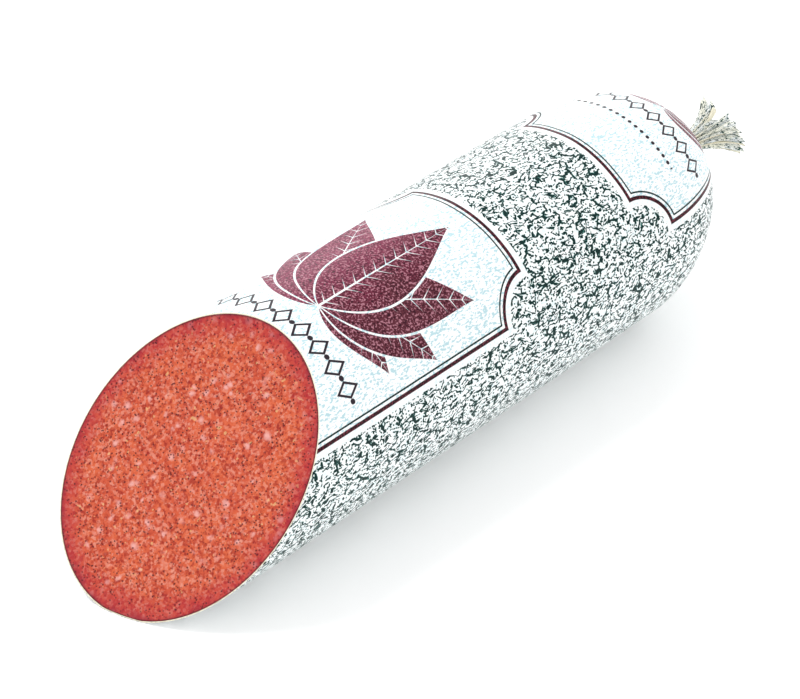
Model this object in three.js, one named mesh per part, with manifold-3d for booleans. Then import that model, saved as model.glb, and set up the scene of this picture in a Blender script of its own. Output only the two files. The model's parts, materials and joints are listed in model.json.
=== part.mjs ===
// A cut end of large-calibre cured sausage: one block of fermented meat in a printed tubular casing.
// The casing is gathered at the closed end, held by a crimped wire clip, and spreads into a pleated frill.
// Millimetres, +Z up. The sausage lies along X, cut end towards -X, with the origin on the surface it
// lies on, under the middle of its length.
import * as THREE from 'three';
import { mergeVertices } from 'three/addons/utils/BufferGeometryUtils.js';
import Module from 'manifold-3d';

// --- Driving dimensions -------------------------------------------------------------------------
const bodyRadius = 45;         // outside of the casing at the cut
const bodyTaper = 0.9;         // how much narrower the casing is where the rounded end begins
const bodySwell = 0.4;         // pull of the outline's middle outwards, over a straight taper
const straightLength = 221;    // from the middle of the cut face to the rounded end
const domeDepth = 53;          // the rounded end, from shoulder to gather
const casingWall = 0.35;       // thickness of the casing
const fillGap = 0.3;           // kept between casing and meat
const restPress = 0.6;         // how far the underside is flattened by the sausage's own weight
const cutSlant = 39.4;         // degrees that the cut leans away from square
const labelTurn = 13.5;        // degrees that the label and the cut are turned from the top towards -Y
const neckRadius = 3.6;        // the gathered casing inside the clip
const neckLift = 4;            // height of the gathered neck above the axis
const neckLength = 5.5;        // gathered neck, from the rounded end to the frill
const gatherRadius = 6;        // radius at which the rounded end turns into the neck
const frillLength = 28;        // from the neck to the frill's edge
const frillRadius = 10;        // mean radius of the frill's edge
const frillWall = 1.1;         // folded casing in the frill, measured along its radius
const frillFloor = 3;          // solid gathered casing at the bottom of the frill
const frillSpread = 1.2;       // widening of the frill along its wide side
const frillSqueeze = 0.8;      // narrowing of the frill through its thin side
const frillTurn = 43.5;        // degrees from +Y up to the frill's wide side
const pleatCount = 14;
const pleatDepth = 0.2;        // share of the radius that a pleat moves in and out
const clipWire = 1.1;          // half the thickness of the clip's wire
const clipGap = 0.3;           // between clip and neck
const clipMouth = 34;          // degrees left open between the clip's two ends

// --- Fineness of the mesh -----------------------------------------------------------------------
const segmentsPerPleat = 4;
const roundSegments = pleatCount * segmentsPerPleat;
const curveSegments = 5;
const clipSegments = 28;
const wireSegments = 10;

// --- Derived places -----------------------------------------------------------------------------
const shoulderRadius = bodyRadius - bodyTaper;
const poleX = straightLength + domeDepth;
const frillStart = poleX + neckLength;
const frillEnd = frillStart + frillLength;
const cutSlope = Math.tan(THREE.MathUtils.degToRad(cutSlant));
const cutReach = cutSlope * bodyRadius;
const uncutX = -cutReach - bodyRadius;
const middleX = (frillEnd - cutReach) / 2;
const restHeight = bodyRadius - restPress;
const labelAngle = THREE.MathUtils.degToRad(labelTurn);
const labelDirection = new THREE.Vector3(0, -Math.sin(labelAngle), Math.cos(labelAngle));

const wasm = await Module();
wasm.setup();

// --- Shared shaping -----------------------------------------------------------------------------
// A profile is drawn as (radius, x) and turned about X, with its outside on the left as it is drawn.
function turned(profile) {
  const geometry = new THREE.LatheGeometry(profile.getPoints(curveSegments), roundSegments);
  geometry.rotateZ(-Math.PI / 2);
  return geometry;
}

// The filled body's outline, less an inset, from before the cut to an angle round the closed end.
function bodyProfile(inset, endAngle) {
  const middle = (bodyRadius + shoulderRadius) / 2 + bodySwell - inset;
  const profile = new THREE.Path();
  profile.moveTo(0, uncutX);
  profile.lineTo(bodyRadius - inset, uncutX);
  profile.lineTo(bodyRadius - inset, 0);
  profile.quadraticCurveTo(middle, straightLength / 2, shoulderRadius - inset, straightLength);
  profile.absellipse(0, straightLength, shoulderRadius - inset, domeDepth - inset, 0, endAngle, false);
  return profile;
}

// Presses the underside flat, less the same inset, and lifts the closed end towards the neck.
function settle(geometry, inset) {
  const position = geometry.attributes.position;
  const floor = inset - restHeight;
  for (let i = 0; i < position.count; i += 1) {
    const lift = neckLift * THREE.MathUtils.smoothstep(position.getX(i), straightLength, poleX);
    position.setZ(i, Math.max(position.getZ(i), floor) + lift);
  }
  return geometry;
}

function solidOf(geometry) {
  const bare = geometry.clone();
  bare.deleteAttribute('normal');
  bare.deleteAttribute('uv');
  const merged = mergeVertices(bare, 1e-4);
  return new wasm.Manifold(new wasm.Mesh({
    numProp: 3,
    vertProperties: merged.attributes.position.array,
    triVerts: new Uint32Array(merged.index.array),
  }));
}

function geometryOf(solid) {
  const mesh = solid.getMesh();
  const geometry = new THREE.BufferGeometry();
  geometry.setAttribute('position', new THREE.BufferAttribute(mesh.vertProperties, 3));
  geometry.setIndex(new THREE.BufferAttribute(mesh.triVerts, 1));
  geometry.computeVertexNormals();
  return geometry;
}

// The filled body, pressed and lifted, still whole at its near end.
function bodySolid(inset) {
  return solidOf(settle(turned(bodyProfile(inset, Math.PI / 2)), inset));
}

// The block of space that the slanted knife cut takes away, on the -X side of the cut plane.
function cutAway() {
  const size = 6 * bodyRadius;
  const block = new THREE.BoxGeometry(size, size, size);
  block.translate(-size / 2, 0, 0);
  const square = new THREE.Vector3(-1, 0, 0);
  const slanted = square.clone().addScaledVector(labelDirection, cutSlope).normalize();
  block.applyQuaternion(new THREE.Quaternion().setFromUnitVectors(square, slanted));
  return solidOf(block);
}

// --- Meat: one block, turned, pressed and cut ---------------------------------------------------
function meatGeometry() {
  return geometryOf(bodySolid(casingWall + fillGap).subtract(cutAway()));
}

// --- Casing: tube, rounded end, neck and frill in one piece -------------------------------------
// Pleats grow from the neck to the frill's edge, where the frill is also flattened into a fan.
function pleat(geometry) {
  const position = geometry.attributes.position;
  const turn = THREE.MathUtils.degToRad(frillTurn);
  for (let i = 0; i < position.count; i += 1) {
    const y = position.getY(i);
    const z = position.getZ(i);
    const grown = THREE.MathUtils.smoothstep(position.getX(i), frillStart, frillEnd);
    const swell = 1 + pleatDepth * grown * Math.cos(pleatCount * Math.atan2(z, y));
    const wide = (y * Math.cos(turn) + z * Math.sin(turn)) * (1 + (frillSpread - 1) * grown);
    const thin = (z * Math.cos(turn) - y * Math.sin(turn)) * (1 + (frillSqueeze - 1) * grown);
    position.setY(i, swell * (wide * Math.cos(turn) - thin * Math.sin(turn)));
    position.setZ(i, swell * (wide * Math.sin(turn) + thin * Math.cos(turn)));
  }
  return geometry;
}

function casingGeometry() {
  const gatherAngle = Math.acos(gatherRadius / shoulderRadius);
  const gatherX = straightLength + domeDepth * Math.sin(gatherAngle);
  const profile = bodyProfile(0, gatherAngle);
  profile.quadraticCurveTo(neckRadius, gatherX, neckRadius, poleX);
  profile.lineTo(neckRadius, frillStart);
  profile.quadraticCurveTo(neckRadius, frillStart + frillLength / 3, frillRadius, frillEnd);
  profile.lineTo(frillRadius - frillWall, frillEnd);
  profile.quadraticCurveTo(neckRadius / 2, frillStart + frillLength / 2, 0, frillStart + frillFloor);
  const whole = solidOf(settle(pleat(turned(profile)), 0));
  return geometryOf(whole.subtract(bodySolid(casingWall)).subtract(cutAway()));
}

// --- Clip: a soft wire crimped round the neck ---------------------------------------------------
class ClipLine extends THREE.Curve {
  getPoint(t, target = new THREE.Vector3()) {
    const radius = neckRadius + clipGap + clipWire;
    const open = THREE.MathUtils.degToRad(clipMouth);
    const angle = open / 2 + t * (2 * Math.PI - open) - Math.PI / 2;
    return target.set(0, radius * Math.cos(angle), radius * Math.sin(angle));
  }
}

function clipGeometry() {
  const section = new THREE.Shape();
  section.absarc(0, 0, clipWire, 0, 2 * Math.PI, false);
  const geometry = new THREE.ExtrudeGeometry(section, {
    steps: clipSegments,
    curveSegments: wireSegments,
    bevelEnabled: false,
    extrudePath: new ClipLine(),
  });
  geometry.translate((poleX + frillStart) / 2, 0, neckLift);
  return geometry;
}

// --- Assembly -----------------------------------------------------------------------------------
const meatRed = new THREE.MeshStandardMaterial({ color: 0xc8553f, roughness: 0.5, metalness: 0 });
const casingWhite = new THREE.MeshStandardMaterial({ color: 0xe9ebe6, roughness: 0.55, metalness: 0 });
const clipMetal = new THREE.MeshStandardMaterial({ color: 0xc9ccd0, roughness: 0.3, metalness: 1 });

function piece(name, geometry, material) {
  const mesh = new THREE.Mesh(geometry, material);
  mesh.name = name;
  return mesh;
}

const sausage = new THREE.Group();
sausage.position.set(-middleX, 0, restHeight);
sausage.add(piece('sausage_meat', meatGeometry(), meatRed));
sausage.add(piece('printed_casing', casingGeometry(), casingWhite));
sausage.add(piece('end_clip', clipGeometry(), clipMetal));

const part = new THREE.Group();
part.add(sausage);

export default part;
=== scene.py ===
"""A large printed salami with a slanted cut, its casing gathered in a clip and spread in a frill.

Metres. The sausage lies along X with its cut towards -X, and Z is up.
"""
import json
import math

import bpy
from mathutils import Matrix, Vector


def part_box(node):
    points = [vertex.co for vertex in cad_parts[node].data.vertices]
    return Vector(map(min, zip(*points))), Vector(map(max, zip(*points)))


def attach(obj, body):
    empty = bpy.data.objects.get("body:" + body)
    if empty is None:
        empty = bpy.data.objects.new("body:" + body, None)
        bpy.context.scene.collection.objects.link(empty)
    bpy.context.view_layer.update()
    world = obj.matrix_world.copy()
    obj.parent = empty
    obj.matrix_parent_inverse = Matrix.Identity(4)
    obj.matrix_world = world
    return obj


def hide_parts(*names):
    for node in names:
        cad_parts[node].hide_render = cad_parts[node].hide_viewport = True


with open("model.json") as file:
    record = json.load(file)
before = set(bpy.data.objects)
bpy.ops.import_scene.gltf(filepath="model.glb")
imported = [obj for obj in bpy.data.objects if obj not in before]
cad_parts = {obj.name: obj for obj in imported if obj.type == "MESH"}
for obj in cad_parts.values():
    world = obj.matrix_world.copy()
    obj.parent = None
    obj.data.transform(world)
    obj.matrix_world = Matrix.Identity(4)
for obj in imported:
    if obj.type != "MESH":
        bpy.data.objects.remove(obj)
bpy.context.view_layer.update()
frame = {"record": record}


# ==== Printed casing ===============================================================================
# A tube of white fibrous film, printed on the outside before it is filled. The knife has cut it at a
# slant with the meat. At the closed end it is gathered in pleats into a neck as thin as a pencil,
# and past the clip it opens into a frill, whose folds show the unprinted inside of the film.

class Quantity:
    """A socket of a node tree. Arithmetic on it adds Math nodes to the tree."""

    def __init__(self, plan, socket):
        self.plan = plan
        self.socket = socket

    def out(self, name):
        """Another output of the same node."""
        return Quantity(self.plan, self.plan.socket(self.socket.node.outputs, name))

    def math(self, operation, *others):
        return self.plan.math(operation, self, *others)

    def __add__(self, other):
        return self.plan.math("ADD", self, other)

    def __radd__(self, other):
        return self.plan.math("ADD", other, self)

    def __sub__(self, other):
        return self.plan.math("SUBTRACT", self, other)

    def __rsub__(self, other):
        return self.plan.math("SUBTRACT", other, self)

    def __mul__(self, other):
        return self.plan.math("MULTIPLY", self, other)

    def __rmul__(self, other):
        return self.plan.math("MULTIPLY", other, self)

    def __truediv__(self, other):
        return self.plan.math("DIVIDE", self, other)

    def __pow__(self, other):
        return self.plan.math("POWER", self, other)

    def __neg__(self):
        return self.plan.math("MULTIPLY", self, -1.0)

    def __abs__(self):
        return self.plan.math("ABSOLUTE", self)

    def __gt__(self, other):
        return self.plan.math("GREATER_THAN", self, other)


class Plan:
    """A node tree being drawn up, of a material or of Geometry Nodes."""

    def __init__(self, tree):
        self.tree = tree

    def add(self, kind, settings=None, inputs=None, out=0):
        """A node of this kind: first its settings, then values or links for its sockets."""
        node = self.tree.nodes.new(kind)
        for name, value in (settings or {}).items():
            setattr(node, name, value)
        for name, value in (inputs or {}).items():
            self.feed(self.socket(node.inputs, name), value)
        return Quantity(self, self.socket(node.outputs, out))

    def socket(self, sockets, name):
        """The socket with this number or name, past those that the node's settings switch off."""
        in_use = [s for s in sockets if s.enabled]
        return in_use[name] if isinstance(name, int) else next(s for s in in_use if s.name == name)

    def feed(self, socket, value):
        if isinstance(value, Quantity):
            self.tree.links.new(value.socket, socket)
        else:
            socket.default_value = value

    def math(self, operation, *values):
        return self.add("ShaderNodeMath", {"operation": operation}, dict(enumerate(values)))

    def ramp(self, value, start, end, low=0.0, high=1.0, kind="SMOOTHSTEP"):
        """Takes a value from the range start to end into low to high, and holds it at both ends."""
        inputs = {0: value, 1: start, 2: end, 3: low, 4: high}
        return self.add("ShaderNodeMapRange", {"interpolation_type": kind}, inputs)

    def vector(self, x, y, z):
        return self.add("ShaderNodeCombineXYZ", None, {0: x, 1: y, 2: z})

    def parts(self, vector):
        x = self.add("ShaderNodeSeparateXYZ", None, {0: vector})
        return x, x.out("Y"), x.out("Z")

    def noise(self, place, scale, detail=2.0, rough=0.5):
        inputs = {"Vector": place, "Scale": scale, "Detail": detail, "Roughness": rough}
        return self.add("ShaderNodeTexNoise", None, inputs)

    def pushed(self, place, by, reach):
        """The place moved along each axis by up to this reach, as the noise's colour says."""
        return self.add("ShaderNodeVectorMath", {"operation": "MULTIPLY_ADD"},
                        {0: by.out("Color"), 1: (reach, reach, reach), 2: place})


def made_by(name, draw, sizes):
    """A mesh object made by Geometry Nodes, with these sizes as the tree's named inputs."""
    tree = bpy.data.node_groups.new(name, "GeometryNodeTree")
    plan = Plan(tree)
    tree.interface.new_socket(name="Geometry", in_out="INPUT", socket_type="NodeSocketGeometry")
    tree.interface.new_socket(name="Geometry", in_out="OUTPUT", socket_type="NodeSocketGeometry")
    identifiers = {}
    for label, value in sizes.items():
        kind = "NodeSocketInt" if isinstance(value, int) else "NodeSocketFloat"
        socket = tree.interface.new_socket(name=label, in_out="INPUT", socket_type=kind)
        identifiers[label] = socket.identifier
    entry = tree.nodes.new("NodeGroupInput")
    given = {label: Quantity(plan, entry.outputs[label]) for label in sizes}
    leave = tree.nodes.new("NodeGroupOutput")
    tree.links.new(draw(plan, given).socket, leave.inputs["Geometry"])

    start = bpy.data.objects.new(name + "_start", bpy.data.meshes.new(name + "_start"))
    bpy.context.scene.collection.objects.link(start)
    rule = start.modifiers.new("rule", "NODES")
    rule.node_group = tree
    for label, value in sizes.items():
        rule[identifiers[label]] = value
    graph = bpy.context.evaluated_depsgraph_get()
    mesh = bpy.data.meshes.new_from_object(start.evaluated_get(graph), depsgraph=graph)
    start.modifiers.remove(rule)
    bpy.data.objects.remove(start)
    mesh.name = name
    piece = bpy.data.objects.new(name, mesh)
    bpy.context.scene.collection.objects.link(piece)
    return piece


def store(plan, geometry, name, kind, domain, value):
    """Keeps a value on the mesh under a name, for the material or the bake to read."""
    return plan.add("GeometryNodeStoreNamedAttribute", {"data_type": kind, "domain": domain},
                    {"Geometry": geometry, "Name": name, "Value": value})


def read(plan, name, kind="FLOAT_VECTOR"):
    """A value that was stored under this name."""
    return plan.add("GeometryNodeInputNamedAttribute", {"data_type": kind}, {"Name": name})


def finished(plan, geometry, material):
    """The last nodes of a tree: real faces, shaded smooth, in one material."""
    geometry = plan.add("GeometryNodeRealizeInstances", None, {"Geometry": geometry})
    geometry = plan.add("GeometryNodeSetShadeSmooth", None, {"Geometry": geometry})
    return plan.add("GeometryNodeSetMaterial", None, {"Geometry": geometry, "Material": material})


cut_mount = next(m for m in frame["record"]["mounts"] if m["name"] == "cut_face")
cut_centre = Vector(cut_mount["pos_m"])
cut_normal = Vector(cut_mount["axis"])
casing_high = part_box("printed_casing")[1]
meat_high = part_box("sausage_meat")[1]

BODY_RADIUS = casing_high.y
BODY_TAPER = 0.0009
DOME_DEPTH = 0.053
CASING_WALL = 0.00035
FILL_GAP = 0.0003
LABEL_TURN = math.atan2(-cut_normal.y, cut_normal.z)  # from the top towards -Y
CUT_SLOPE = -math.hypot(cut_normal.y, cut_normal.z) / cut_normal.x
STRAIGHT = meat_high.x + CASING_WALL + FILL_GAP - cut_centre.x - DOME_DEPTH
NECK_LIFT = 0.004
NECK_RADIUS = 0.0034
NECK_LENGTH = 0.0055
GATHER_RADIUS = 0.0065
FRILL_LENGTH = casing_high.x - cut_centre.x - STRAIGHT - DOME_DEPTH - NECK_LENGTH
FRILL_RADIUS = 0.0105
FRILL_TURN = math.radians(-46.5)  # the frill's wide side, from the top towards -Y
FRILL_DROOP = 0.0026
PLEATS = 17
STEPS_PER_PLEAT = 16
LUMP_HEIGHT = 0.0009  # the filling's unevenness, which the tight film follows
WELD = 2e-6  # corners closer than this are one

# The pleats' depths are shares of the radius.
PLEAT_WANDER = 0.9  # how widely a pleat strays about its even place, in radians
PLEAT_SHARPNESS = 0.97  # at 1 the folds would be knife-edged
NECK_PLEATS = 0.66
PLEAT_FADE = 1.55  # how soon they die out from the neck towards the body
FRILL_PLEATS = 0.62
FRILL_EDGE_EASE = 0.22  # how much shallower they are at the frill's edge

# The frill's form, as shares of its radius or of its length.
FAN_WIDENING = 0.36
UPPER_LOBE_WIDENING = 0.1
FAN_FLATTENING = 0.42
NOTCH_PLACE = 0.52  # cosine of the notch's angle from the middle of the upper lobe
NOTCH_NARROWNESS = 10.0
NOTCH_DEPTH = 0.34
UPPER_LOBE_SHORTENING = 0.08
EDGE_RAGGEDNESS = 0.12

# Heights in the bake map: the printed side, then the lining, most of it for the frill's lining,
# which is the only part that shows.
OUTER_SHARE = 0.86
LINING_FROM = OUTER_SHARE + 0.01
FRILL_LINING_FROM = OUTER_SHARE + 0.04
FRILL_LINING_SHARE = 0.09
MAP_WIDTH = 0.998  # of the whole map, which keeps the two edges of the seam apart

body_sizes = {
    "Body Radius": BODY_RADIUS, "Body Taper": BODY_TAPER, "Straight": STRAIGHT, "Dome Depth": DOME_DEPTH,
    "Cut Slope": CUT_SLOPE, "Label Turn": LABEL_TURN, "Neck Lift": NECK_LIFT, "Cut X": cut_centre.x,
    "Axis Height": cut_centre.z,
}


def laid_down(plan, size, shape, floor):
    """Slants the near end to the cut's plane, presses the underside flat and lifts the neck."""
    x, y, z = plan.parts(plan.add("GeometryNodeInputPosition"))
    towards_label = z * size["Label Turn"].math("COSINE") - y * size["Label Turn"].math("SINE")
    left = plan.ramp(x, 0.0, size["Straight"], 1.0, 0.0, "LINEAR")
    slanted = x + towards_label * size["Cut Slope"] * left + size["Cut X"]
    lift = size["Neck Lift"] * plan.ramp(x, size["Straight"], size["Straight"] + size["Dome Depth"])
    pressed = (z + size["Axis Height"]).math("MAXIMUM", floor)
    place = plan.vector(slanted, y, pressed + lift)
    return plan.add("GeometryNodeSetPosition", None, {"Geometry": shape, "Position": place})


def film_tube(plan, size):
    """The film as a sheet from the cut to the frill's edge, rolled up, thickened, cut and laid down."""
    rows = size["Body Rows"] + size["Dome Rows"] + size["Neck Rows"] + size["Frill Rows"]
    grid = plan.add("GeometryNodeMeshGrid", None,
                    {"Size X": 1.0, "Size Y": 1.0, "Vertices X": size["Around"] + 1, "Vertices Y": rows + 1})
    across, along, _ = plan.parts(plan.add("GeometryNodeInputPosition"))
    angle = across * (2 * math.pi)
    row = (along + 0.5) * rows

    def progress(first, count):
        return plan.ramp(row, first, first + count, kind="LINEAR")

    neck_from = size["Body Rows"] + size["Dome Rows"]
    body = progress(0.0, size["Body Rows"])
    dome = progress(size["Body Rows"], size["Dome Rows"])
    neck = progress(neck_from, size["Neck Rows"])
    frill = progress(neck_from + size["Neck Rows"], size["Frill Rows"])

    # The outline: a slightly tapered tube, a quarter of an ellipse, a flare into the neck, the frill.
    shoulder = size["Body Radius"] - size["Body Taper"]
    gather_angle = (size["Gather Radius"] / shoulder).math("ARCCOSINE")
    turn = dome * gather_angle
    dome_radius = (size["Body Radius"] - size["Body Taper"] * body * body) * turn.math("COSINE")
    flare = (1 - neck) * (1 - neck)
    neck_radius = size["Neck Radius"] + (size["Gather Radius"] - size["Neck Radius"]) * flare
    opened = frill * (0.35 + 0.65 * frill)
    frill_radius = size["Neck Radius"] + (size["Frill Radius"] - size["Neck Radius"]) * opened
    in_neck = neck > 0.0
    in_frill = frill > 0.0
    radius = dome_radius * (1 - in_neck) + neck_radius * (in_neck - in_frill) + frill_radius * in_frill
    gather_x = size["Straight"] + size["Dome Depth"] * gather_angle.math("SINE")
    neck_run = size["Straight"] + size["Dome Depth"] + size["Neck Length"] - gather_x
    mean = (size["Dome Depth"] + shoulder) / 2
    arc = mean * turn + (size["Dome Depth"] - shoulder) / 4 * (turn * 2).math("SINE")
    run = size["Straight"] * body + arc + neck_run * neck + size["Frill Length"] * frill
    whole = size["Straight"] + mean * gather_angle + neck_run + size["Frill Length"]

    # Pleats: none on the body, deep in the neck, then opening out as the frill does.
    circle = plan.vector(angle.math("COSINE"), angle.math("SINE"), run * 6.0)
    wander = plan.noise(circle, 1.6) - 0.5
    uneven = plan.noise(circle, 3.7, 1.0)
    wave = ((angle + wander * PLEAT_WANDER) * size["Pleats"]).math("COSINE")
    fold = (wave * PLEAT_SHARPNESS).math("ARCCOSINE") / -math.pi + 1.0
    gathered = plan.ramp(dome, 0.5, 1.0)
    near_neck = gathered * (size["Neck Radius"] / radius) ** PLEAT_FADE * NECK_PLEATS
    share = near_neck * (1 - in_frill) + (FRILL_PLEATS - FRILL_EDGE_EASE * frill) * in_frill
    depth = share * fold * (0.45 + uneven * 1.1)
    filled = (1 - gathered) * plan.ramp(body, 0.0, 0.15)
    lumps = (plan.noise(circle, 2.3, 1.0) - 0.5) * LUMP_HEIGHT * filled
    pleated = radius * (1 - depth) + lumps

    # The frill is a flattened fan: a narrow lobe above, a notch beside it, and a wide lobe below.
    off_wide = angle + size["Label Turn"] - size["Frill Turn"]
    upper = off_wide.math("COSINE")
    wide = pleated * upper * (1 + (FAN_WIDENING + UPPER_LOBE_WIDENING * upper) * opened)
    thin = pleated * off_wide.math("SINE") * (1 - FAN_FLATTENING * opened)
    notch = (abs(upper - NOTCH_PLACE) * -NOTCH_NARROWNESS).math("EXPONENT")
    shorter = plan.ramp(upper, 0.3, 1.0) * UPPER_LOBE_SHORTENING + notch * NOTCH_DEPTH
    shorter = (shorter + (uneven - 0.5) * EDGE_RAGGEDNESS) * frill
    length = size["Frill Length"] * frill * (1 - shorter.math("MAXIMUM", 0.0))
    x = size["Straight"] * body + size["Dome Depth"] * turn.math("SINE") + neck_run * neck + length
    cosine = size["Frill Turn"].math("COSINE")
    sine = size["Frill Turn"].math("SINE")
    droop = size["Frill Droop"] * frill * frill
    rolled = plan.vector(x, -(wide * sine + thin * cosine), wide * cosine - thin * sine - droop)

    # What the material and the bake read: the film's place on the unfilled tube, and its map.
    around_x = size["Body Radius"] * angle.math("COSINE")
    around_y = size["Body Radius"] * angle.math("SINE")
    slant = around_x * size["Cut Slope"] * (1 - body)
    unfilled = plan.vector(around_x, around_y, run + slant)
    sheet = store(plan, grid, "film", "FLOAT_VECTOR", "POINT", unfilled)
    flat = plan.vector(across * MAP_WIDTH + 0.5, run / whole * OUTER_SHARE, 0.0)
    sheet = store(plan, sheet, "OFBake", "FLOAT2", "CORNER", flat)
    sheet = plan.add("GeometryNodeSetPosition", None, {"Geometry": sheet, "Position": rolled})
    sheet = plan.add("GeometryNodeMergeByDistance", None, {"Geometry": sheet, "Distance": WELD})

    # The wall: a copy of the sheet moved inwards and turned over, with its edges joined to the sheet's.
    outer = store(plan, sheet, "inside", "FLOAT", "FACE", 0.0)
    inner = plan.add("GeometryNodeExtrudeMesh", {"mode": "FACES"},
                     {"Mesh": sheet, "Offset Scale": -size["Wall"], "Individual": False})
    inner = store(plan, inner, "inside", "FLOAT", "FACE", 1.0)
    map_x, map_y, _ = plan.parts(read(plan, "OFBake"))
    frill_foot = OUTER_SHARE * (1 - size["Frill Length"] / whole)
    strip = plan.ramp(map_y, 0.0, frill_foot, LINING_FROM, FRILL_LINING_FROM, "LINEAR")
    strip = strip + plan.ramp(map_y, frill_foot, OUTER_SHARE, 0.0, FRILL_LINING_SHARE, "LINEAR")
    inner = store(plan, inner, "OFBake", "FLOAT2", "CORNER", plan.vector(map_x, strip, 0.0))
    inner = plan.add("GeometryNodeFlipFaces", None, {"Mesh": inner})
    wall = plan.add("GeometryNodeJoinGeometry", None, {0: outer})
    plan.feed(wall.socket.node.inputs[0], inner)
    wall = plan.add("GeometryNodeMergeByDistance", None, {"Geometry": wall, "Distance": WELD})
    inside = read(plan, "inside", "FLOAT")
    return finished(plan, laid_down(plan, size, wall, inside * size["Wall"]), printed_film)


def ink(red, green, blue):
    """A colour given in the 0 to 255 steps of a colour chart, as linear light."""
    def linear(step):
        share = step / 255
        return share / 12.92 if share <= 0.04045 else ((share + 0.055) / 1.055) ** 2.4
    return linear(red), linear(green), linear(blue), 1.0


def mix(plan, factor, under, over):
    return plan.add("ShaderNodeMix", {"data_type": "RGBA"}, {"Factor": factor, "A": under, "B": over})


def new_material(name):
    """A material, its plan and its shader."""
    material = bpy.data.materials.new(name)
    material.use_nodes = True
    plan = Plan(material.node_tree)
    shader = next(n for n in material.node_tree.nodes if n.type == "BSDF_PRINCIPLED")
    return material, plan, shader


def add_relief(plan, shader, height, strength, distance):
    """Gives a surface fine relief, through a Bump node."""
    bump = plan.add("ShaderNodeBump", None, {"Strength": strength, "Distance": distance, "Height": height})
    plan.feed(shader.inputs["Normal"], bump)


def hypotenuse(a, b):
    """The long side of a right-angled triangle, from its two legs."""
    return (a * a + b * b).math("SQRT")


def from_middle(value, step):
    """How far a value is from the middle of its step, in a row of equal steps."""
    return ((value / step).math("FRACT") - 0.5) * step


# The print, in millimetres: a label panel and a stretch of mould pattern follow each other along the
# film, whose places count from the middle of the cut. The panel is a rectangle with a quarter circle
# bitten out of each corner.
PRINT_REPEAT = 200.0
PANEL_START = 2.4
PANEL_LENGTH = 137.3
PANEL_HALF_WIDTH = 45.2
CORNER_BITE = 16.2
BORDER_WIDTH = 1.5
BORDER_END = 316.0  # its sides run on over the neck and part of the frill
HAIRLINE_FROM = 2.6
HAIRLINE_WIDTH = 0.7
FRILL_PRINT_FROM = 288.0  # past this, at the neck, the label gives way to sparse mould pattern
MARGIN = 2.4
SHARP = 0.1  # over which an ink's edge fades
FRILL_INK_LOSS = 0.34  # taken off the mould pattern's strength on the frill

# The ornament: each pair of leaves leans so many degrees from the panel's middle line, and has this
# length and roughly this half width. The last is the single leaf in the middle.
LEAVES = ((80.0, 36.0, 6.6), (54.0, 50.0, 10.0), (27.0, 64.0, 12.5), (0.0, 71.0, 13.0))
LEAF_FOOT = -14.0
LEAF_FULLNESS = 4.6  # makes a leaf about as wide as its half width says
LEAF_GAP = 0.9
RIB_HALF_WIDTH = 0.5
VEIN_STEP = 5.5
VEIN_SLANT = 0.8
VEIN_HALF_WIDTH = 0.28
VEIN_FADE = 0.06

# The row of lozenges with a bead in each gap, and the row of dots below it.
LOZENGE_ROW = -28.0
LOZENGE_ROW_REACH = 37.0
LOZENGE_STEP = 9.0
LOZENGE_HALF_WIDTH = 2.9
LOZENGE_HALF_HEIGHT = 4.6
LOZENGE_LINE = 0.55
BEAD_RADIUS = 1.1
DOT_ROW = -41.0
DOT_ROW_REACH = 27.0
DOT_STEP = 3.2
DOT_RADIUS = 0.85

BLACK_GREEN = ink(0, 38, 36)
MOULD_TEAL = ink(0, 112, 102)
MAROON = ink(34, 6, 16)
MAROON_WORN = ink(104, 38, 52)
CHARCOAL = ink(44, 36, 44)
LEAF_CRIMSON = ink(124, 16, 64)
LEAF_BROWN = ink(90, 38, 50)
LEAF_PALE = ink(170, 114, 128)
LEAF_DARK = ink(48, 10, 26)
FILM_WHITE = ink(249, 251, 251)
FILM_BLUE = ink(178, 212, 220)
FILM_AGED = ink(248, 240, 206)
LINING = ink(238, 232, 208)
LINING_SHADED = ink(150, 148, 128)


def printed_edge(plan, distance):
    """1 where the distance inside an outline is positive, with a slightly soft edge."""
    return plan.ramp(distance, -SHARP, SHARP)


def inked_spots(plan, place, per_metre, radius, share):
    """A spot of random size in this share of the flat cells. Its ink goes from 0 outside to 1 inside."""
    spots = plan.add("ShaderNodeTexVoronoi", {"voronoi_dimensions": "2D"},
                     {"Vector": place, "Scale": per_metre, "Randomness": 0.85})
    lot, size, _ = plan.parts(spots.out("Color"))
    reach = (lot > 1 - share) * (radius * (0.65 + 0.5 * size) + 0.08)
    return plan.ramp(reach - spots, 0.0, 0.2, kind="LINEAR")


def inked_cracks(plan, place, per_metre, width, kept):
    """The seams between flat cells of about this many to the metre, where they are kept."""
    seams = plan.add("ShaderNodeTexVoronoi", {"feature": "DISTANCE_TO_EDGE", "voronoi_dimensions": "2D"},
                     {"Vector": place, "Scale": per_metre, "Randomness": 1.0})
    return plan.ramp(kept * (width + 0.04) - seams, 0.0, 0.08, kind="LINEAR")


def mould_strokes(plan, across, run):
    """The print that imitates mould: short strokes that run mostly along, wandering cracks, and dots."""
    flat = plan.vector(across, run, 0.0)
    swirled = plan.pushed(flat, plan.noise(flat, 140.0, 1.0), 0.0055)
    crinkled = plan.pushed(swirled, plan.noise(flat, 640.0, 0.0), 0.0012)
    x, y, _ = plan.parts(crinkled)
    lengthened = plan.vector(x, y * 0.5, 0.0)
    often = plan.ramp(plan.noise(lengthened, 760.0, 1.0), 0.46, 0.53)
    seldom = plan.ramp(plan.noise(flat, 220.0, 1.0), 0.50, 0.54)
    strokes = inked_cracks(plan, lengthened, 500.0, 0.118, often)
    cracks = inked_cracks(plan, lengthened, 250.0, 0.062, seldom)
    dots = inked_spots(plan, flat, 700.0, 0.23, 0.66)
    return strokes.math("MAXIMUM", cracks).math("MAXIMUM", dots)


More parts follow.
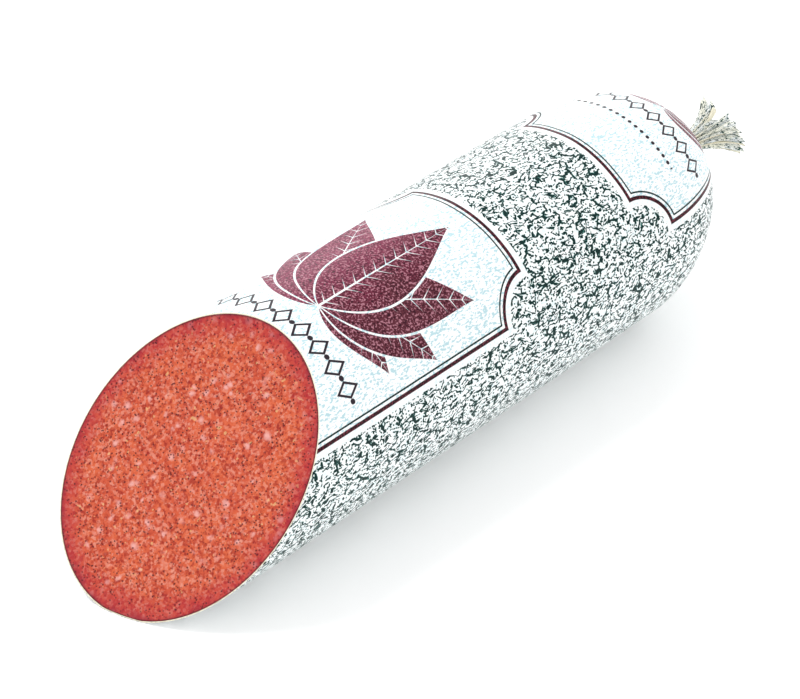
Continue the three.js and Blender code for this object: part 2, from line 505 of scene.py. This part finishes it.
def leaf_spray(plan, across, up):
    """The panel's ornament, as ink from 0 to 1: a fan of ribbed leaves on one foot."""
    side = abs(across)
    rise = up - LEAF_FOOT
    inked = None
    for lean, length, half_width in LEAVES:
        cosine = math.cos(math.radians(lean))
        sine = math.sin(math.radians(lean))
        along = (side * sine + rise * cosine) / length
        beside = abs(side * cosine - rise * sine)
        inside = along.math("MAXIMUM", 0.0).math("MINIMUM", 1.0)
        outline = half_width * LEAF_FULLNESS * inside ** 0.8 * (1 - inside) ** 1.3
        edge = outline - beside - SHARP * 1.5
        rib = beside - RIB_HALF_WIDTH * (1 - inside)
        veins = abs(from_middle(along * length - beside * VEIN_SLANT, VEIN_STEP)) - VEIN_HALF_WIDTH
        lines = rib.math("MINIMUM", veins + beside * VEIN_FADE)
        leaf = printed_edge(plan, edge.math("MINIMUM", lines))
        behind = 1 - printed_edge(plan, edge + LEAF_GAP)
        inked = leaf if inked is None else (inked * behind).math("MAXIMUM", leaf)
    return inked


def bead_rows(plan, across, up):
    """The panel's two rows, as ink from 0 to 1: lozenges and beads, and under them small dots."""
    aside = abs(from_middle(across, LOZENGE_STEP))
    above = up - LOZENGE_ROW
    outline = abs(aside / LOZENGE_HALF_WIDTH + abs(above) / LOZENGE_HALF_HEIGHT - 1.0)
    lozenge = outline * -LOZENGE_HALF_WIDTH + LOZENGE_LINE
    bead = BEAD_RADIUS - hypotenuse(aside - LOZENGE_STEP / 2, above)
    row = bead.math("MAXIMUM", lozenge).math("MINIMUM", LOZENGE_ROW_REACH - abs(across))
    dot = DOT_RADIUS - hypotenuse(from_middle(across, DOT_STEP), up - DOT_ROW)
    dots = dot.math("MINIMUM", DOT_ROW_REACH - abs(across))
    return printed_edge(plan, row.math("MAXIMUM", dots))


def depth_in_panel(across, up):
    """The distance from the panel's outline, positive inside it."""
    from_side = PANEL_HALF_WIDTH - abs(across)
    from_end = PANEL_LENGTH / 2 - abs(up)
    from_bite = hypotenuse(from_side, from_end) - CORNER_BITE
    return from_side.math("MINIMUM", from_end).math("MINIMUM", from_bite)


def bare_film(plan, film, panel):
    """The film's own colour: white, with blue-grey fibres, most of all on the panel, and a little
    yellowed in places near the gather."""
    x, y, run = plan.parts(film)
    fibres = plan.ramp(plan.noise(plan.vector(x, y, run * 0.5), 1300.0, 1.0, 0.6), 0.50, 0.62)
    colour = mix(plan, fibres * (0.35 + 0.6 * panel), FILM_WHITE, FILM_BLUE)
    aged = plan.ramp(run, 0.262, 0.300) * plan.ramp(plan.noise(film, 120.0, 2.0), 0.38, 0.62)
    return mix(plan, aged * 0.5, colour, FILM_AGED)


def leaf_ink(plan, film, across, stipple):
    """The leaves' colour: crimson on one side and brown on the other, stippled with pale and dark."""
    blend = plan.ramp(across + (plan.noise(film, 60.0) - 0.5) * 30, -22.0, 16.0)
    colour = mix(plan, blend, LEAF_CRIMSON, LEAF_BROWN)
    colour = mix(plan, plan.ramp(stipple, 0.55, 0.62), colour, LEAF_PALE)
    return mix(plan, plan.ramp(stipple, 0.42, 0.36), colour, LEAF_DARK)


def printed_film_material():
    material, plan, shader = new_material("printed_film")
    film = plan.add("ShaderNodeAttribute", {"attribute_name": "film"}, out="Vector")
    inside = plan.add("ShaderNodeAttribute", {"attribute_name": "inside"}, out="Fac")
    x, y, run = plan.parts(film)
    across = y.math("ARCTAN2", x) * (BODY_RADIUS * 1000)
    down_tube = run * 1000
    back = PANEL_START + PANEL_LENGTH / 2 - PRINT_REPEAT / 2
    up = (down_tube - back).math("FLOORED_MODULO", PRINT_REPEAT) - PRINT_REPEAT / 2

    # Where each ink goes.
    into = depth_in_panel(across, up)
    on_body = printed_edge(plan, FRILL_PRINT_FROM - down_tube)
    panel = printed_edge(plan, into) * on_body
    border = printed_edge(plan, into) * (1 - printed_edge(plan, into - BORDER_WIDTH))
    border = border * printed_edge(plan, BORDER_END - down_tube)
    hairline = printed_edge(plan, HAIRLINE_WIDTH / 2 - abs(into - HAIRLINE_FROM - HAIRLINE_WIDTH / 2))
    mould = mould_strokes(plan, across / 1000, run) * (1 - printed_edge(plan, into + MARGIN) * on_body)
    mould = mould - FRILL_INK_LOSS * (1 - on_body)
    leaves = leaf_spray(plan, across, up) * panel

    # The inks, one over another, each mould stroke with a teal fringe.
    stipple = plan.noise(film, 1300.0, 1.0, 0.5)
    fringe = plan.ramp(mould, 0.0, 0.35) * 0.95
    colour = mix(plan, fringe, bare_film(plan, film, panel), MOULD_TEAL)
    colour = mix(plan, plan.ramp(mould, 0.35, 0.6), colour, BLACK_GREEN)
    colour = mix(plan, leaves, colour, leaf_ink(plan, film, across, stipple))
    colour = mix(plan, bead_rows(plan, across, up) * panel, colour, CHARCOAL)
    colour = mix(plan, border, colour, mix(plan, plan.ramp(stipple, 0.5, 0.6), MAROON, MAROON_WORN))
    colour = mix(plan, hairline * on_body, colour, BLACK_GREEN)
    lining = mix(plan, mould * 0.3 + leaves * 0.2, LINING, LINING_SHADED)
    plan.feed(shader.inputs["Base Color"], mix(plan, inside, colour, lining))

    fibre = plan.noise(film, 1400.0, 3.0, 0.7)
    plan.feed(shader.inputs["Roughness"], 0.26 + 0.2 * fibre)
    add_relief(plan, shader, fibre * 0.6 + plan.noise(film, 240.0, 2.0) * 0.8, 0.25, 0.0002)
    shader.inputs["Specular IOR Level"].default_value = 0.12
    return material


printed_film = printed_film_material()
casing = made_by("casing_film", film_tube, body_sizes | {
    "Wall": CASING_WALL, "Gather Radius": GATHER_RADIUS, "Neck Radius": NECK_RADIUS,
    "Neck Length": NECK_LENGTH, "Frill Length": FRILL_LENGTH, "Frill Radius": FRILL_RADIUS,
    "Frill Turn": FRILL_TURN, "Frill Droop": FRILL_DROOP, "Pleats": PLEATS,
    "Around": PLEATS * STEPS_PER_PLEAT, "Body Rows": 44, "Dome Rows": 52, "Neck Rows": 9, "Frill Rows": 24,
})
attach(casing, "root")
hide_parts("printed_casing")


# ==== Meat =========================================================================================
# One block of finely minced, fermented meat that has set firm in its casing. The slanted cut shows
# orange-red mince with soft flecks of fat, specks of pepper and a darker, drier rim.

RIM_PRESS = 0.00002  # the meat stops this far inside the film
HIDDEN_CLEARANCE = 0.0012  # how much slimmer the block is where the film hides it
FLOOR_CLEARANCE = 0.00004  # between the block and the film under it
GRAIN_RELIEF = 0.00042
FAT_RISE = 0.00007
PEPPER_PIT = 0.00022
FACE_SET_BACK = 0.00008  # from the plane of the cut, away from the rim

MEAT_ORANGE = ink(206, 92, 54)
MEAT_DEEP = ink(196, 78, 48)
MEAT_PALE = ink(219, 145, 126)
MEAT_DARK = ink(142, 16, 8)
FAT = ink(226, 164, 156)
SPICE_GOLD = ink(224, 178, 122)
PEPPER = ink(74, 8, 20)
RIM_CRIMSON = ink(172, 24, 48)
RIM_DRIED = ink(140, 18, 44)
RIM_LINE = ink(80, 10, 24)


def from_rim(plan, place):
    """How deep a place lies under the film, and how far it is off the cut's plane."""
    x, y, z = plan.parts(place)
    up = z - cut_centre.z
    off_plane = (x - cut_centre.x) * cut_normal.x + y * cut_normal.y + up * cut_normal.z
    return BODY_RADIUS - CASING_WALL - hypotenuse(y, up), off_plane


def grains(plan, place, per_metre):
    """Random cells through the block, about this many to the metre."""
    return plan.add("ShaderNodeTexVoronoi", None, {"Vector": place, "Scale": per_metre, "Randomness": 1.0})


def fat_flecks(plan, place):
    """Soft, ragged flecks of fat, a few millimetres across at most, from 0 to 1."""
    flecks = grains(plan, plan.pushed(place, plan.noise(place, 380.0, 2.0), 0.0026), 175.0)
    size = plan.noise(place, 120.0, 1.0)
    return plan.ramp(flecks, 0.54 * size, 0.06 * size)


def pepper_specks(plan, place):
    """Pin-point dark specks and pits, closer together in some places."""
    specks = grains(plan, place, 900.0)
    return plan.ramp(specks, 0.36, 0.22) * plan.ramp(plan.noise(place, 380.0, 1.0), 0.40, 0.52)


def cut_block(plan, size):
    """A square grid bent into the round cut face, with the block's side drawn out from its edge."""
    grid = plan.add("GeometryNodeMeshGrid", None,
                    {"Size X": 2.0, "Size Y": 2.0, "Vertices X": size["Grid"], "Vertices Y": size["Grid"]})
    a, b, _ = plan.parts(plan.add("GeometryNodeInputPosition"))
    radius = size["Body Radius"] - size["Inset"]
    y = a * (1 - b * b / 2).math("SQRT") * radius
    z = b * (1 - a * a / 2).math("SQRT") * radius
    on_map = plan.vector(0.5 + a * 0.49, 0.53 + b * 0.465, 0.0)  # the side's strip lies below the face
    block = store(plan, grid, "OFBake", "FLOAT2", "CORNER", on_map)
    block = plan.add("GeometryNodeSetPosition", None,
                     {"Geometry": block, "Position": plan.vector(0.0, -y, z)})

    # Rings drawn out from the outline, down to a point at the closed end.
    neighbours = plan.add("GeometryNodeInputMeshEdgeNeighbors")
    ring = plan.add("FunctionNodeCompare", {"data_type": "INT", "operation": "EQUAL"},
                    {"A": neighbours, "B": 1})
    shoulder = radius - size["Body Taper"] - size["Clearance"]
    depth = size["Dome Depth"] - size["Clearance"] * 2.5
    stations = [(size["Straight"] * 0.04, radius - size["Clearance"] * 0.5)]
    stations += [(size["Straight"] * 0.5, radius - size["Body Taper"] / 4 - size["Clearance"])]
    for turn in range(0, 91, 9):
        cosine = max(math.cos(math.radians(turn)), 1e-6)
        stations.append((size["Straight"] + depth * math.sin(math.radians(turn)), shoulder * cosine))
    last = radius
    for along, next_radius in stations:
        drawn = plan.add("GeometryNodeExtrudeMesh", {"mode": "EDGES"},
                         {"Mesh": block, "Selection": ring, "Offset Scale": 0.0})
        _, now_y, now_z = plan.parts(plan.add("GeometryNodeInputPosition"))
        place = plan.vector(along, now_y * (next_radius / last), now_z * (next_radius / last))
        ring = drawn.out("Top")
        block = plan.add("GeometryNodeSetPosition", None,
                         {"Geometry": drawn, "Selection": ring, "Position": place})
        last = next_radius

    # The side's strip of the bake map: each face's corners lie beside its own middle, so none wraps.
    x, y, z = plan.parts(plan.add("GeometryNodeInputPosition"))
    angle = y.math("ARCTAN2", z)
    face_x = plan.add("GeometryNodeFieldOnDomain", {"domain": "FACE"}, {0: x})
    face_angle = plan.add("GeometryNodeFieldOnDomain", {"domain": "FACE"}, {0: angle})
    on_side = face_x > 1e-6
    off_axis = (y * y + z * z) > 1e-8
    aside = (angle - face_angle + math.pi).math("FLOORED_MODULO", 2 * math.pi) - math.pi
    strip_x = (face_angle + aside * off_axis) / (2 * math.pi) * 0.98 + 0.5
    strip_y = x / (size["Straight"] + size["Dome Depth"]) * 0.05 + 0.004
    map_x, map_y, _ = plan.parts(read(plan, "OFBake"))
    on_map = plan.vector(map_x + (strip_x - map_x) * on_side, map_y + (strip_y - map_y) * on_side, 0.0)
    block = store(plan, block, "OFBake", "FLOAT2", "CORNER", on_map)
    block = plan.add("GeometryNodeMergeByDistance", None, {"Geometry": block, "Distance": WELD})
    block = laid_down(plan, size, block, size["Floor"])

    # The knife leaves fat standing slightly proud and crumbs of pepper torn out.
    place = plan.add("GeometryNodeInputPosition")
    rim_depth, off_plane = from_rim(plan, place)
    grain = (plan.noise(place, 420.0, 3.0, 0.6) - 0.5) * GRAIN_RELIEF
    relief = grain + fat_flecks(plan, place) * FAT_RISE - pepper_specks(plan, place) * PEPPER_PIT
    on_face = 1 - plan.ramp(abs(off_plane), 0.00001, 0.00002)
    relief = (relief - FACE_SET_BACK) * on_face * plan.ramp(rim_depth, 0.0004, 0.003)
    offset = plan.vector(relief * cut_normal.x, relief * cut_normal.y, relief * cut_normal.z)
    block = plan.add("GeometryNodeSetPosition", None, {"Geometry": block, "Offset": offset})
    return finished(plan, block, salami)


def salami_material():
    material, plan, shader = new_material("salami")
    place = plan.add("ShaderNodeTexCoord", out="Object")
    rim_depth, _ = from_rim(plan, place)
    coarse = plan.noise(place, 150.0, 3.0, 0.6)
    mince = plan.noise(place, 620.0, 3.0, 0.65)
    shade, _, _ = plan.parts(grains(plan, place, 1050.0).out("Color"))
    colour = mix(plan, plan.ramp(coarse, 0.36, 0.64), MEAT_DEEP, MEAT_ORANGE)
    colour = mix(plan, plan.ramp(shade, 0.62, 1.0) * 0.55, colour, MEAT_PALE)
    colour = mix(plan, plan.ramp(shade, 0.42, 0.0) * 0.62, colour, MEAT_DARK)
    colour = mix(plan, plan.ramp(mince, 0.53, 0.70) * 0.7, colour, MEAT_PALE)
    colour = mix(plan, plan.ramp(mince, 0.46, 0.30) * 0.9, colour, MEAT_DARK)
    colour = mix(plan, fat_flecks(plan, place) * 0.9, colour, FAT)
    gold = plan.ramp(plan.noise(place, 480.0, 1.0), 0.69, 0.75)
    colour = mix(plan, gold * 0.6, colour, SPICE_GOLD)
    ragged = rim_depth + (plan.noise(place, 170.0, 3.0, 0.6) - 0.5) * 0.009
    colour = mix(plan, plan.ramp(ragged, 0.010, 0.001) * 0.58, colour, RIM_CRIMSON)
    colour = mix(plan, plan.ramp(ragged, 0.0024, -0.001) * 0.7, colour, RIM_DRIED)
    colour = mix(plan, pepper_specks(plan, place) * 0.9, colour, PEPPER)
    colour = mix(plan, plan.ramp(rim_depth, 0.0008, 0.0001) * 0.8, colour, RIM_LINE)
    plan.feed(shader.inputs["Base Color"], colour)
    plan.feed(shader.inputs["Roughness"], 0.5 + 0.25 * mince - 0.16 * fat_flecks(plan, place))
    add_relief(plan, shader, plan.noise(place, 1600.0, 2.0) * 0.5 + mince, 0.4, 0.0003)
    shader.inputs["Specular IOR Level"].default_value = 0.3
    return material


salami = salami_material()
meat = made_by("salami_block", cut_block, body_sizes | {
    "Inset": CASING_WALL + RIM_PRESS, "Clearance": HIDDEN_CLEARANCE,
    "Floor": CASING_WALL + FLOOR_CLEARANCE, "Grid": 190,
})
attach(meat, "root")
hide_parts("sausage_meat")


# ==== Clip =========================================================================================
# A U of soft aluminium wire, closed round the gathered neck by a die that folds its two legs inwards
# and presses them a little flat.

CLIP_WIRE = 0.0011  # half the thickness
CLIP_RADIUS = NECK_RADIUS + CLIP_WIRE
CLIP_MOUTH = math.radians(30)
END_DIP = 0.13  # how far the two ends are folded in, as a share of the radius
END_PINCH = 0.32  # how much thinner they end
PRESSED_FLAT = 0.82  # of the wire's half thickness
ALUMINIUM_DULL = ink(196, 199, 203)
ALUMINIUM_BRIGHT = ink(226, 228, 230)
clip_low, clip_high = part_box("end_clip")


def closed_clip(plan, size):
    """A round wire along an open ring, whose ends dip in towards the neck."""
    path = plan.add("GeometryNodeCurveArc", {"mode": "RADIUS"},
                    {"Resolution": size["Steps"], "Radius": size["Radius"], "Start Angle": size["Mouth"] / 2,
                     "Sweep Angle": 2 * math.pi - size["Mouth"], "Connect Center": False})
    share = plan.add("GeometryNodeSplineParameter")
    end = plan.ramp(abs(share - 0.5), 0.36, 0.5)
    x, y, _ = plan.parts(plan.add("GeometryNodeInputPosition"))
    inward = 1 - END_DIP * end
    path = plan.add("GeometryNodeSetPosition", None,
                    {"Geometry": path, "Position": plan.vector(x * inward, y * inward, 0.0)})
    thickness = size["Wire"] * (1 - END_PINCH * plan.ramp(abs(share - 0.5), 0.478, 0.5))
    profile = plan.add("GeometryNodeCurvePrimitiveCircle", {"mode": "RADIUS"},
                       {"Resolution": size["Round"], "Radius": 1.0})
    wire = plan.add("GeometryNodeCurveToMesh", None,
                    {"Curve": path, "Profile Curve": profile, "Scale": thickness, "Fill Caps": True})
    x, y, z = plan.parts(plan.add("GeometryNodeInputPosition"))
    flat = size["Wire"] * PRESSED_FLAT
    pressed = z.math("MINIMUM", flat).math("MAXIMUM", -flat)
    turned = plan.vector(pressed + size["At X"], -y, size["At Z"] - x)
    wire = plan.add("GeometryNodeSetPosition", None, {"Geometry": wire, "Position": turned})
    return finished(plan, wire, aluminium)


def aluminium_material():
    material, plan, shader = new_material("soft_aluminium")
    place = plan.add("ShaderNodeTexCoord", out="Object")
    x, y, z = plan.parts(place)
    drawn = plan.noise(plan.vector(x * 6, y, z), 900.0, 2.0)
    plan.feed(shader.inputs["Base Color"], mix(plan, drawn, ALUMINIUM_DULL, ALUMINIUM_BRIGHT))
    plan.feed(shader.inputs["Roughness"], 0.26 + 0.2 * drawn)
    add_relief(plan, shader, drawn, 0.3, 0.00005)
    shader.inputs["Metallic"].default_value = 1.0
    return material


aluminium = aluminium_material()
clip = made_by("neck_clip", closed_clip, {
    "Radius": CLIP_RADIUS, "Wire": CLIP_WIRE, "Mouth": CLIP_MOUTH, "Steps": 56, "Round": 16,
    "At X": (clip_low.x + clip_high.x) / 2, "At Z": cut_centre.z + NECK_LIFT,
})
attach(clip, "root")
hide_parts("end_clip")


# ==== Studio =======================================================================================
# A pale floor, a soft lamp high on the left, a weaker one low behind the sausage, white light from
# all round, and the camera.

FLOOR_REACH = 4.0
FLOOR_DROP = 0.0001  # keeps the floor from fighting with the flat underside
FLOOR_PALE = (0.94, 0.94, 0.94, 1.0)
WHITE = (1.0, 1.0, 1.0, 1.0)


def pale_floor():
    mesh = bpy.data.meshes.new("floor")
    square = ((-1, -1), (1, -1), (1, 1), (-1, 1))
    corners = [(x * FLOOR_REACH, y * FLOOR_REACH, -FLOOR_DROP) for x, y in square]
    mesh.from_pydata(corners, [], [(0, 1, 2, 3)])
    material, _, shader = new_material("pale_floor")
    shader.inputs["Base Color"].default_value = FLOOR_PALE
    shader.inputs["Emission Color"].default_value = WHITE
    shader.inputs["Emission Strength"].default_value = 0.18
    shader.inputs["Roughness"].default_value = 0.9
    shader.inputs["Specular IOR Level"].default_value = 0.0
    mesh.materials.append(material)
    floor = bpy.data.objects.new("floor", mesh)
    bpy.context.scene.collection.objects.link(floor)
    return floor


pale_floor()

world = bpy.data.worlds.new("white_room")
world.use_nodes = True
sky = world.node_tree.nodes["Background"]
sky.inputs["Color"].default_value = WHITE
sky.inputs["Strength"].default_value = 0.98
bpy.context.scene.world = world
bpy.context.scene.view_settings.view_transform = "Standard"


def soft_lamp(name, strength, spread, towards):
    """A lamp so far off that its light is parallel, spread over some degrees of the sky."""
    lamp = bpy.data.lights.new(name, "SUN")
    lamp.energy = strength
    lamp.angle = math.radians(spread)
    stand = bpy.data.objects.new(name, lamp)
    stand.rotation_mode = "QUATERNION"
    stand.rotation_quaternion = Vector(towards).to_track_quat("Z", "Y")
    bpy.context.scene.collection.objects.link(stand)


soft_lamp("key_lamp", 1.1, 16.0, (-0.12, 0.42, 0.90))
soft_lamp("back_lamp", 0.7, 34.0, (0.63, 0.55, 0.34))

camera = bpy.data.cameras.new("camera")
camera.lens = 194.4
camera.sensor_width = 36.0
camera.clip_start = 0.01
camera_stand = bpy.data.objects.new("camera", camera)
camera_stand.location = (-1.0164, -0.8654, 0.9078)
forward = Vector((0.6292, 0.5481, -0.5511))
camera_stand.rotation_mode = "QUATERNION"
camera_stand.rotation_quaternion = (-forward).to_track_quat("Z", "Y")
bpy.context.scene.collection.objects.link(camera_stand)
bpy.context.scene.camera = camera_stand
